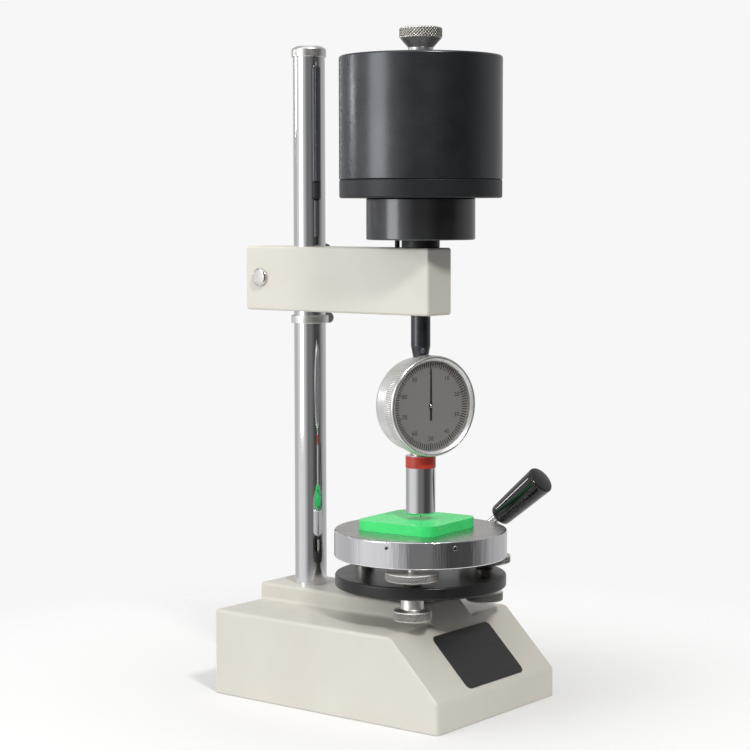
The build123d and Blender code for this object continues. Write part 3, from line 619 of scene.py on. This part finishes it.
# ------------------------------------------------------------- stop collar
pts = rounded([(10.06, 229.0), (11.7, 229.0), (11.7, 234.0), (10.06, 234.0)], {1: .5, 2: .5}, 3)
bm = lathe(pts, 160, closed=True)
add("stop_collar_ring", bm, "collar", "stop_collar", matrix=at(COL_X, 0))
pts = [(0, 10.3), (1.5, 10.3), (1.5, 13.4), (3.1, 13.4), (3.4, 13.8), (3.4, 19.5), (3.1, 20.0), (0, 20.0)]
# the knurl's groove bottoms get the dark groove material: painted shade
add("collar_screw_head", shade_knurl_grooves(lathe(pts, 192, straight_knurl(32, 0.22, 13.7, 19.6)), 3.4, 13.7, 19.6, 0.22), ["nickel", "groove"], "collar_thumbscrew",
    matrix=at(COL_X, 0, 231.5) @ YAX)

# ------------------------------------------------------------- spindle and weights
pts = rounded([(3.3, 211.6), (4.7, 211.6), (4.9, 212.8), (5.9, 217.9), (5.9, 306.9), (5.0, 307.0), (5.0, 390.6), (4.0, 391.2), (4.0, 401.8), (0, 401.8)],
              {1: .3, 2: .4, 3: .8}, 3)
add("spindle_bar", lathe([(3.3, 224.0)] + pts, 128), "black", "spindle_rod", matrix=at(SP_X, 0))
pts = rounded([(5.9, 277.2), (11.5, 277.2), (11.5, 281.8), (5.9, 281.8)], {1: .5, 2: .5}, 3)
add("rest_collar_ring", lathe(pts, 128, closed=True), "black_matt", "rest_collar", matrix=at(SP_X, 0))
pts = rounded([(5.9, 281.9), (32.85, 281.9), (32.85, 306.8), (5.9, 306.8)], {1: 1.0, 2: 0.8}, 4)
add("lower_weight_disc", lathe(pts, 256, closed=True), "black_bright", "lower_weight", matrix=at(SP_X, 0))
pts = [(0, 264), (1.3, 264), (1.5, 264.3), (1.5, 289.9), (0, 289.9)]
add("guide_pin_rod", lathe(pts, 48), "black_matt", "guide_pin", matrix=at(10.6, 0))
pts = rounded([(19.5, 306.9), (48.95, 306.9), (48.95, 317.35), (48.4, 317.8), (19.5, 317.8)], {1: 1.2, 2: .3, 3: .3}, 4)
add("trim_weight_disc", lathe(pts, 288, closed=True), "black_matt", "trim_weight", matrix=at(SP_X, 0))
pts = rounded([(19.5, 317.8), (48.4, 317.8), (49.05, 318.3), (49.05, 391.3), (5.1, 391.3), (5.1, 383.0), (19.5, 383.0)],
              {1: .3, 2: .3, 3: 1.4}, 5)
add("main_weight_drum", lathe(pts, 288, closed=True), "black", "main_weight", matrix=at(SP_X, 0))
pts = [(4.06, 391.35), (7.4, 391.35), (7.6, 391.6), (7.6, 396.0), (7.9, 396.8), (12.0, 401.3), (12.5, 402.0), (12.9, 402.6), (12.9, 407.4),
       (12.5, 408.1), (11.4, 408.45), (0, 408.5)]
i = pts.index((12.9, 402.6))
pts = zsplit(pts, i, 16)
# the knurl's groove bottoms get the dark groove material: painted shade
bm = shade_knurl_grooves(lathe(pts, 480, diamond_knurl(40, 0.50, 402.6, 407.4, 1.95, 0.34)), 12.9, 402.5, 407.5, 0.50)
add("weight_thumb_knob", bm, ["knurl_nickel", "knob_groove_painted_shade"], "weight_knob", matrix=at(SP_X, 0), sharp=60)

# ------------------------------------------------------------- gauge
pts = rounded([(0, -5.2), (26.2, -5.2), (26.2, 7.6), (28.5, 7.6), (28.5, -4.8), (27.6, -7.2), (25.9, -9.0), (25.0, -9.0), (25.0, -7.4), (0, -7.4)],
              {3: .2, 4: 1.6, 5: 1.6, 6: .3}, 4)
bm = lathe(pts, 256)
case = add("gauge_case_shell", bm, "silver", "gauge_case", matrix=DIAL)
pts = rounded([(4.9, 151.5), (6.4, 151.5), (6.4, 156.4), (4.9, 156.4)], {1: .3}, 3)
neck = add("gauge_case_neck", lathe(pts, 96, closed=True), "bright_nickel", None, matrix=G, body="gauge")
pts = rounded([(0, 207.5), (5.0, 207.5), (5.0, 211.3), (3.2, 211.5), (3.2, 223.9), (0, 223.9)], {2: .4}, 3)
st = add("gauge_case_stem", lathe(pts, 96), "nickel", None, matrix=G, body="gauge")
pts = rounded([(0, -7.45), (24.95, -7.45), (24.95, -8.8), (24.4, -9.0), (8, -9.0), (7.6, -8.8), (0, -8.8)], {2: .2, 3: .2}, 3)
add("gauge_back_disc", lathe(pts, 192), "back_steel", "gauge_back", matrix=DIAL)
bm = bmesh.new()
for a in (90, 210, 330):
    part = lathe(rounded([(0, -8.9), (1.9, -8.9), (1.9, -9.3), (1.3, -9.5), (0, -9.5)], {2: .1, 3: .1}, 2), 40)
    me = bpy.data.meshes.new("t")
    part.to_mesh(me)
    part.free()
    me.transform(at(22.6 * math.cos(math.radians(a)), 22.6 * math.sin(math.radians(a))))
    bm.from_mesh(me)
    bpy.data.meshes.remove(me)
add("gauge_back_screw_heads", bm, "steel", "back_screws", matrix=DIAL)
# bezel: knurled rim, then a bright lip that slopes in to the crystal
DW = 10.9                                   # printed face of the dial
pts = [(28.55, 6.6), (30.0, 6.6), (30.4, 6.9), (30.5, 7.2), (30.5, 8.6), (30.5, 11.6), (30.5, 13.1), (30.5, 13.35), (30.42, 13.95), (30.2, 14.45), (29.85, 14.82),
       (29.4, 15.03), (28.95, 15.05), (28.75, 14.9), (28.0, 14.2), (27.25, 13.43), (27.2, 13.35), (27.2, 10.4), (26.0, 10.4), (26.0, 8.0), (28.55, 8.0)]
rim_knurl = straight_knurl(150, 0.16, 7.1, 13.2)
bm = lathe(pts, 1200, lambda t, i, r, z: rim_knurl(t, i, r, z) if r > 30.2 else 0, closed=True)
for f in bm.faces:
    c = f.calc_center_median()
    r = math.hypot(c.x, c.y)
    # faces down in the rim knurl's grooves take the darker silver: painted shade in the grooves
    f.material_index = 1 if c.z > 13.3 and r < 28.8 else 2 if c.z > 13.5 else 3 if 7.1 < c.z < 13.2 and 29.5 < r < 30.40 else 0
add("gauge_bezel", bm, ["silver", "lip", "cap_nickel", "soft_groove_painted_shade"], "bezel_ring", matrix=DIAL, sharp=50)
pts = rounded([(0, DW + 1.6), (27.15, DW + 1.6), (27.15, DW + 2.5), (0, DW + 2.5)], {1: .1, 2: .1}, 2)
add("gauge_crystal", lathe(pts, 128), "glass", "crystal", matrix=DIAL)
pts = [(1.2, DW - 0.5), (27.15, DW - 0.5), (27.15, DW - 0.02), (27.05, DW), (1.3, DW), (1.2, DW - 0.05)]
dial = add("dial_face_plate", lathe(pts, 192, closed=True), "dial", "dial_face", matrix=DIAL)


def text_mesh(s, size, x, y, z, depth=0.03, rot=0.0, mat=None):
    c = bpy.data.curves.new("t", "FONT")
    c.body, c.size, c.align_x, c.align_y = s, size, "CENTER", "CENTER"
    c.extrude = depth / 2
    c.resolution_u = 3
    o = bpy.data.objects.new("t", c)
    bpy.context.scene.collection.objects.link(o)
    bpy.context.view_layer.update()
    me = bpy.data.meshes.new_from_object(o.evaluated_get(bpy.context.evaluated_depsgraph_get()))
    bpy.data.objects.remove(o)
    bpy.data.curves.remove(c)
    me.transform(Matrix.Translation((x, y, z)) @ Matrix.Rotation(rot, 4, "Z") @ Matrix.Scale(1, 4))
    return me


bm = bmesh.new()


def bar(a, r0, r1, w, z0=DW, z1=DW + 0.04):
    """A radial graduation at clock angle a (degrees from the top, clockwise)."""
    t = math.radians(90 - a)
    d, n = Vector((math.cos(t), math.sin(t))), Vector((-math.sin(t), math.cos(t)))
    q = [d * r0 - n * w / 2, d * r1 - n * w / 2, d * r1 + n * w / 2, d * r0 + n * w / 2]
    lo, hi = [bm.verts.new((p.x, p.y, z0)) for p in q], [bm.verts.new((p.x, p.y, z1)) for p in q]
    bm.faces.new(hi)
    for i in range(4):
        bm.faces.new((lo[i], lo[(i + 1) % 4], hi[(i + 1) % 4], hi[i]))


R_OUT = 26.8
for i in range(100):
    if i % 10 == 0:
        bar(i * 3.6, R_OUT - 4.2, R_OUT, 0.66)
    elif i % 5 == 0:
        bar(i * 3.6, R_OUT - 4.0, R_OUT, 0.58)
    else:
        bar(i * 3.6, R_OUT - 3.7, R_OUT, 0.54)
for n in range(1, 10):
    a = math.radians(90 - n * 36)
    me = text_mesh(str(n * 10), 3.9, 19.9 * math.cos(a), 19.9 * math.sin(a), DW + 0.02, 0.04)
    bm.from_mesh(me)
    bpy.data.meshes.remove(me)
me = text_mesh("0", 3.9, 0, 19.9, DW + 0.02, 0.04)
bm.from_mesh(me)
bpy.data.meshes.remove(me)
bmesh.ops.remove_doubles(bm, verts=bm.verts, dist=0.001)
marks = add("dial_marks", bm, "marks", None, matrix=DIAL, body="bezel", weighted=False)

# pointer
bm = bmesh.new()
out = [(-0.52, -8.7), (-0.3, -8.9), (0.3, -8.9), (0.52, -8.7), (0.5, -2.0), (1.0, -1.1), (1.25, 0), (1.0, 1.1), (0.5, 2.0), (0.42, 14.0), (0.28, 22.3),
       (0.1, 22.6), (-0.1, 22.6), (-0.28, 22.3), (-0.42, 14.0), (-0.5, 2.0), (-1.0, 1.1), (-1.25, 0), (-1.0, -1.1), (-0.5, -2.0)]
prism(out, DW + 0.4, DW + 0.65, bm, bevel=0.04, seg=1)
ptr = add("dial_pointer", bm, "ink", "pointer", matrix=DIAL)
hub_pts = rounded([(0, DW + 0.3), (1.15, DW + 0.3), (1.15, DW + 0.9), (0.7, DW + 1.15), (0, DW + 1.2)], {2: .2, 3: .2}, 2)
hb = add("pointer_hub", lathe(hub_pts, 48), "bright_nickel", None, matrix=DIAL, body="needle")
# barrel, band, indenter
pts = rounded([(2.05, 151.45), (9.0, 151.45), (9.0, 116.6), (8.2, 115.7), (1.0, 115.7), (0.95, 119.0)], {1: .3, 2: .4, 3: .5}, 3)
add("presser_sleeve", lathe(pts, 160), "chrome", "presser_barrel", matrix=G)
pts = rounded([(9.0, 144.0), (9.2, 144.0), (9.2, 151.2), (9.0, 151.2)], {1: .05, 2: .05}, 2)
add("coloured_band", lathe(pts, 128, closed=True), "red", "colour_band", matrix=G)

# ------------------------------------------------------------- lift table
pts = rounded([(0, 71.8), (52.2, 71.8), (52.2, 79.4), (0, 79.4)], {1: 1.2, 2: 1.2}, 4)
add("carrier_disc", lathe(pts, 256), "plate_satin", "carrier_plate", extra=("plate_bolt",), matrix=at(SP_X, 0))
pts = rounded([(0, 90.0), (52.6, 90.0), (52.6, 106.4), (0, 106.4)], {1: 0.9, 2: 1.0}, 5)
table = add("specimen_table_disc", lathe(pts, 288), "table", "specimen_table", matrix=at(SP_X, 0))
bm = bmesh.new()
for a in (-75.7, -30.8):
    part = lathe([(0, 9.23), (0.85, 9.23), (0.95, 9.28), (1.35, 9.30), (1.48, 9.22), (1.5, 8.6), (0, 8.6)], 40)
    for f in part.faces:
        c = f.calc_center_median()
        # the socket is a black disc in a shallow dip, not a hole: painted shade where the hex socket would lie dark
        f.material_index = 1 if c.z > 9.0 and math.hypot(c.x, c.y) < 0.9 else 0
    me = bpy.data.meshes.new("t")
    part.to_mesh(me)
    part.free()
    me.transform(at(SP_X, 0, 102.4) @ Matrix.Rotation(math.radians(a), 4, "Z") @ at(43.4, 0) @ Matrix.Rotation(PI / 2, 4, "Y"))
    bm.from_mesh(me)
    bpy.data.meshes.remove(me)
add("table_set_screws", bm, ["steel", "ink"], "table_grub_screws")
bm = prism(round_rect(55.0, 55.0, 8.0, 10, 24.8, 0.7, 3.6), 106.4, 112.4, bevel=1.5, seg=5)
add("green_test_block", bm, "green", "test_block", sharp=40)
for tag, (x, y) in zip(("left", "right"), LEV):
    pts = [(0, 58.7), (9.8, 58.7), (10.7, 58.9), (11.3, 59.3), (11.6, 59.7), (11.6, 64.1), (11.2, 64.6), (10.6, 64.95), (7.6, 65.2), (7.0, 65.6), (6.8, 66.0),
           (6.8, 71.2), (6.4, 71.7), (3.0, 71.7), (3.0, 90.2), (2.2, 91.8), (0, 91.8)]
    pts = zsplit(pts, 4, 18)
    # the knurl's groove bottoms get the dark groove material: painted shade
    bm = shade_knurl_grooves(lathe(pts, 480, diamond_knurl(36, 0.50, 59.7, 64.1, 1.9, 0.32)), 11.6, 59.6, 64.2, 0.50)
    add("levelling_knob_" + tag, bm, ["knurl_nickel", "groove"], "levelling_screw_" + tag, matrix=at(x, y), sharp=60)
    pts = [(3.05, 79.6), (5.4, 79.6), (5.6, 79.8), (5.6, 82.7), (15.0, 82.7), (15.7, 83.0), (16.1, 83.4), (16.1, 87.0), (15.7, 87.45), (15.0, 87.7),
           (3.05, 87.7)]
    pts = zsplit(pts, 6, 14)
    # the knurl's groove bottoms get the dark groove material: painted shade
    bm = shade_knurl_grooves(lathe(pts, 600, diamond_knurl(54, 0.50, 83.4, 87.0, 1.8, 0.32), closed=True), 16.1, 83.3, 87.1, 0.50)
    add("lock_knob_" + tag, bm, ["knurl_nickel", "groove"], "lock_wheel_" + tag, matrix=at(x, y), sharp=60)
pts = rounded([(3.0, 79.4), (6.0, 79.4), (6.0, 87.0), (4.4, 88.0), (3.0, 88.2), (3.0, 90.4)], {1: .2, 2: .5}, 3)
add("rear_pivot_post", lathe(pts, 96), "nickel", "rear_pivot", matrix=at(SP_X - 43.0, 0))

# ------------------------------------------------------------- lever
lx, ly, lz, la = LEVER
ca, sa = math.cos(math.radians(la)), math.sin(math.radians(la))
ROD = Matrix.Translation((lx, ly, lz)) @ Matrix.Rotation(math.radians(90 - la), 4, "Y")
pts = [(0, 8.0), (3.2, 8.0), (3.2, 110.0), (0, 110.0)]
add("lever_bar", lathe(pts, 96), "chrome", "lever_rod", matrix=ROD, weighted=False)
g0, g1 = 105.4, 146.6
L = g1 - g0
prof = [(3.2, 0), (5.6, 0), (6.4, 0.25), (6.95, 0.85), (7.2, 1.9)]
for k in range(1, 13):
    t = k / 12
    prof.append((7.2 + (8.95 - 7.2) * t ** 0.95, 1.9 + (L - 4.9) * t))
zc = prof[-1][1]
prof += rounded([(8.95, zc), (8.95, L - 1.0), (0, L)], {1: 2.0}, 10)[1:-1]
prof += [(8.95 * q * 0.72, L - 0.72 * q * q * 0.62) for q in (0.8, 0.55, 0.3)]
prof.append((0, L))
add("lever_handle", lathe([(r, z + g0) for r, z in prof], 128), "grip", "lever_grip", matrix=ROD, weighted=False)
bm = lathe(rounded([(4.0, 61.9), (9.5, 61.9), (9.5, 70.9), (4.0, 70.9)], {1: .7, 2: .9}, 4), 128, closed=True)
hub = add("lever_boss", bm, "nickel", "lever_hub", matrix=at(lx, 0, lz) @ YAX)
pts = rounded([(3.25, 8.0), (4.1, 8.0), (4.1, 17.0), (3.25, 17.0)], {2: .3}, 3)
arm2 = add("lever_boss_arm", lathe(pts, 64, closed=True), "nickel", None, matrix=ROD, body="lever")
pts = rounded([(0, 71.0), (6.5, 71.0), (6.5, 72.2), (3.6, 72.2), (3.6, 73.7), (2.4, 74.0), (2.0, 73.2), (0, 73.2)], {2: .3, 4: .3}, 2)
add("lever_end_screw", lathe(pts, 96), "steel", "shaft_end_screw", matrix=at(lx, 0, lz) @ YAX)

# ------------------------------------------------------------- stage, light, camera
scene = bpy.context.scene
fm = Nodes("studio_floor")
fsep = fm.n("ShaderNodeSeparateXYZ")
fm.link(fm.co, fsep.inputs[0])
fr2 = fm.math("SQRT", fm.math("ADD", fm.math("MULTIPLY", fsep.outputs[0], fsep.outputs[0]), fm.math("MULTIPLY", fsep.outputs[1], fsep.outputs[1])))
fade = fm.mapr(fr2, 1.0, 0.0, 0.16, 0.40)
glow = fm.ramp(fm.mapr(fr2, 0.0, 1.0, 0.11, 0.34), [(0.0, 0.10), (1.0, 0.29)])
fm.set(base=(0.80, 0.80, 0.80), rough=0.9, spec=0.0, emit=glow, emit_s=1.0, alpha=fade)
me = bpy.data.meshes.new("studio_floor")
bm = bmesh.new()
rows = []
for r in (0.0, 0.2, 0.4, 0.6, 0.9):
    rows.append([bm.verts.new((r * math.cos(2 * PI * k / 72), r * math.sin(2 * PI * k / 72), -0.0004)) for k in range(72 if r else 1)])
for a, b in zip(rows, rows[1:]):
    for k in range(72):
        q = (k + 1) % 72
        bm.faces.new((a[0], b[k], b[q]) if len(a) == 1 else (a[k], b[k], b[q], a[q]))
bm.to_mesh(me)
bm.free()
floor = bpy.data.objects.new("studio_floor", me)
me.materials.append(fm.m)
scene.collection.objects.link(floor)


def area(name, loc, look, sx, sy, power, col=(1, 1, 1)):
    li = bpy.data.lights.new(name, "AREA")
    li.shape, li.size, li.size_y, li.energy, li.color = "RECTANGLE", sx, sy, power, col
    o = bpy.data.objects.new(name, li)
    o.location = loc
    o.rotation_euler = (Vector(look) - Vector(loc)).to_track_quat("-Z", "Y").to_euler()
    o.visible_camera = False
    scene.collection.objects.link(o)
    return o


def around(az_rel, dist, h):
    """A point at a bearing from the object, measured from the camera's bearing (left is negative)."""
    t = math.radians(-52.16 + az_rel)
    return (dist * math.cos(t), dist * math.sin(t), h)


area("key_left", around(-62, 1.7, 0.62), (0, 0, 0.3), 0.8, 1.35, 8.8)
area("key_front", (1.8 * 0.73 * math.cos(math.radians(-30)), 1.8 * 0.73 * math.sin(math.radians(-30)), 0.25 + 1.8 * 0.68), (0.03, 0, 0.25),
     0.26, 0.26, 15.5, (1.0, 0.985, 0.96))
area("grip_strip", (-1.425, -0.44, 0.472), (0.06, 0.066, 0.12), 0.11, 0.13, 0.85)
area("top_soft", (-0.1, -0.2, 2.0), (0, 0, 0.2), 2.0, 2.0, 12.0)

world = bpy.data.worlds.new("studio")
scene.world = world
world.use_nodes = True
wt = world.node_tree
wt.nodes.clear()
wo = wt.nodes.new("ShaderNodeOutputWorld")
bg_cam = wt.nodes.new("ShaderNodeBackground")
bg_cam.inputs[0].default_value = (*srgb(247, 247, 247), 1)
bg_cam.inputs[1].default_value = 1.0
bg_env = wt.nodes.new("ShaderNodeBackground")
lp = wt.nodes.new("ShaderNodeLightPath")
mixw = wt.nodes.new("ShaderNodeMixShader")
wt.links.new(lp.outputs["Is Camera Ray"], mixw.inputs[0])
wt.links.new(bg_env.outputs[0], mixw.inputs[1])
wt.links.new(bg_cam.outputs[0], mixw.inputs[2])
wt.links.new(mixw.outputs[0], wo.inputs[0])
tc = wt.nodes.new("ShaderNodeTexCoord")
rotm = wt.nodes.new("ShaderNodeMapping")
rotm.inputs["Rotation"].default_value = (0, 0, math.radians(52.16))
wt.links.new(tc.outputs["Generated"], rotm.inputs["Vector"])
sep = wt.nodes.new("ShaderNodeSeparateXYZ")
wt.links.new(rotm.outputs[0], sep.inputs[0])
at2 = wt.nodes.new("ShaderNodeMath")
at2.operation = "ARCTAN2"
wt.links.new(sep.outputs["Y"], at2.inputs[0])
wt.links.new(sep.outputs["X"], at2.inputs[1])
fr = wt.nodes.new("ShaderNodeMapRange")
fr.inputs["From Min"].default_value, fr.inputs["From Max"].default_value = -PI, PI
wt.links.new(at2.outputs[0], fr.inputs["Value"])


def deg(a):
    return (a + 180) / 360


def card_ramp(stops):
    """Studio cards round the object: bearing from the camera's side, and the light that comes from there."""
    node = wt.nodes.new("ShaderNodeValToRGB")
    wt.links.new(fr.outputs[0], node.inputs[0])
    els = node.color_ramp.elements
    while len(els) < len(stops):
        els.new(0.5)
    for e, (a, val) in zip(els, stops):
        e.position = deg(a)
        e.color = (*val, 1)
    return node


# a plain neutral studio: pale room behind, one broad white card on the left, a dark room behind the camera and on the right
studio = card_ramp([(a, (v, v, v)) for a, v in ((-180, .8), (-110, .7), (-85, 1.1), (-45, 1.0), (-15, .25), (10, .25), (35, .08), (70, .1), (110, .6), (180, .8))])


# above about 50 degrees everything turns into the overhead softbox
el = wt.nodes.new("ShaderNodeMapRange")
el.inputs["From Min"].default_value, el.inputs["From Max"].default_value = 0.45, 0.85
wt.links.new(sep.outputs["Z"], el.inputs["Value"])
mx = wt.nodes.new("ShaderNodeMix")
mx.data_type = "RGBA"
wt.links.new(el.outputs[0], mx.inputs[0])
wt.links.new(studio.outputs[0], mx.inputs[6])
mx.inputs[7].default_value = (0.50, 0.50, 0.50, 1)
wt.links.new(mx.outputs[2], bg_env.inputs[0])
bg_env.inputs[1].default_value = 0.75

cam = bpy.data.cameras.new("camera")
cam.lens, cam.sensor_width, cam.sensor_fit = 94.765, 36.0, "HORIZONTAL"
cam.clip_start, cam.clip_end = 0.05, 30
co = bpy.data.objects.new("camera", cam)
th, ph, ro = math.radians(37.84), math.radians(4.77), math.radians(-0.09)
F = Vector((-math.sin(th) * math.cos(ph), math.cos(th) * math.cos(ph), -math.sin(ph)))
R = Vector((math.cos(th), math.sin(th), 0))
U = R.cross(F)
R2 = R * math.cos(ro) + U * math.sin(ro)
U2 = U * math.cos(ro) - R * math.sin(ro)
rot = Matrix((R2, U2, -F)).transposed()
co.matrix_world = Matrix.Translation((0.737165, -0.957601, 0.299634)) @ rot.to_4x4()
scene.collection.objects.link(co)
scene.camera = co
scene.view_settings.view_transform = "Standard"
scene.view_settings.look = "None"
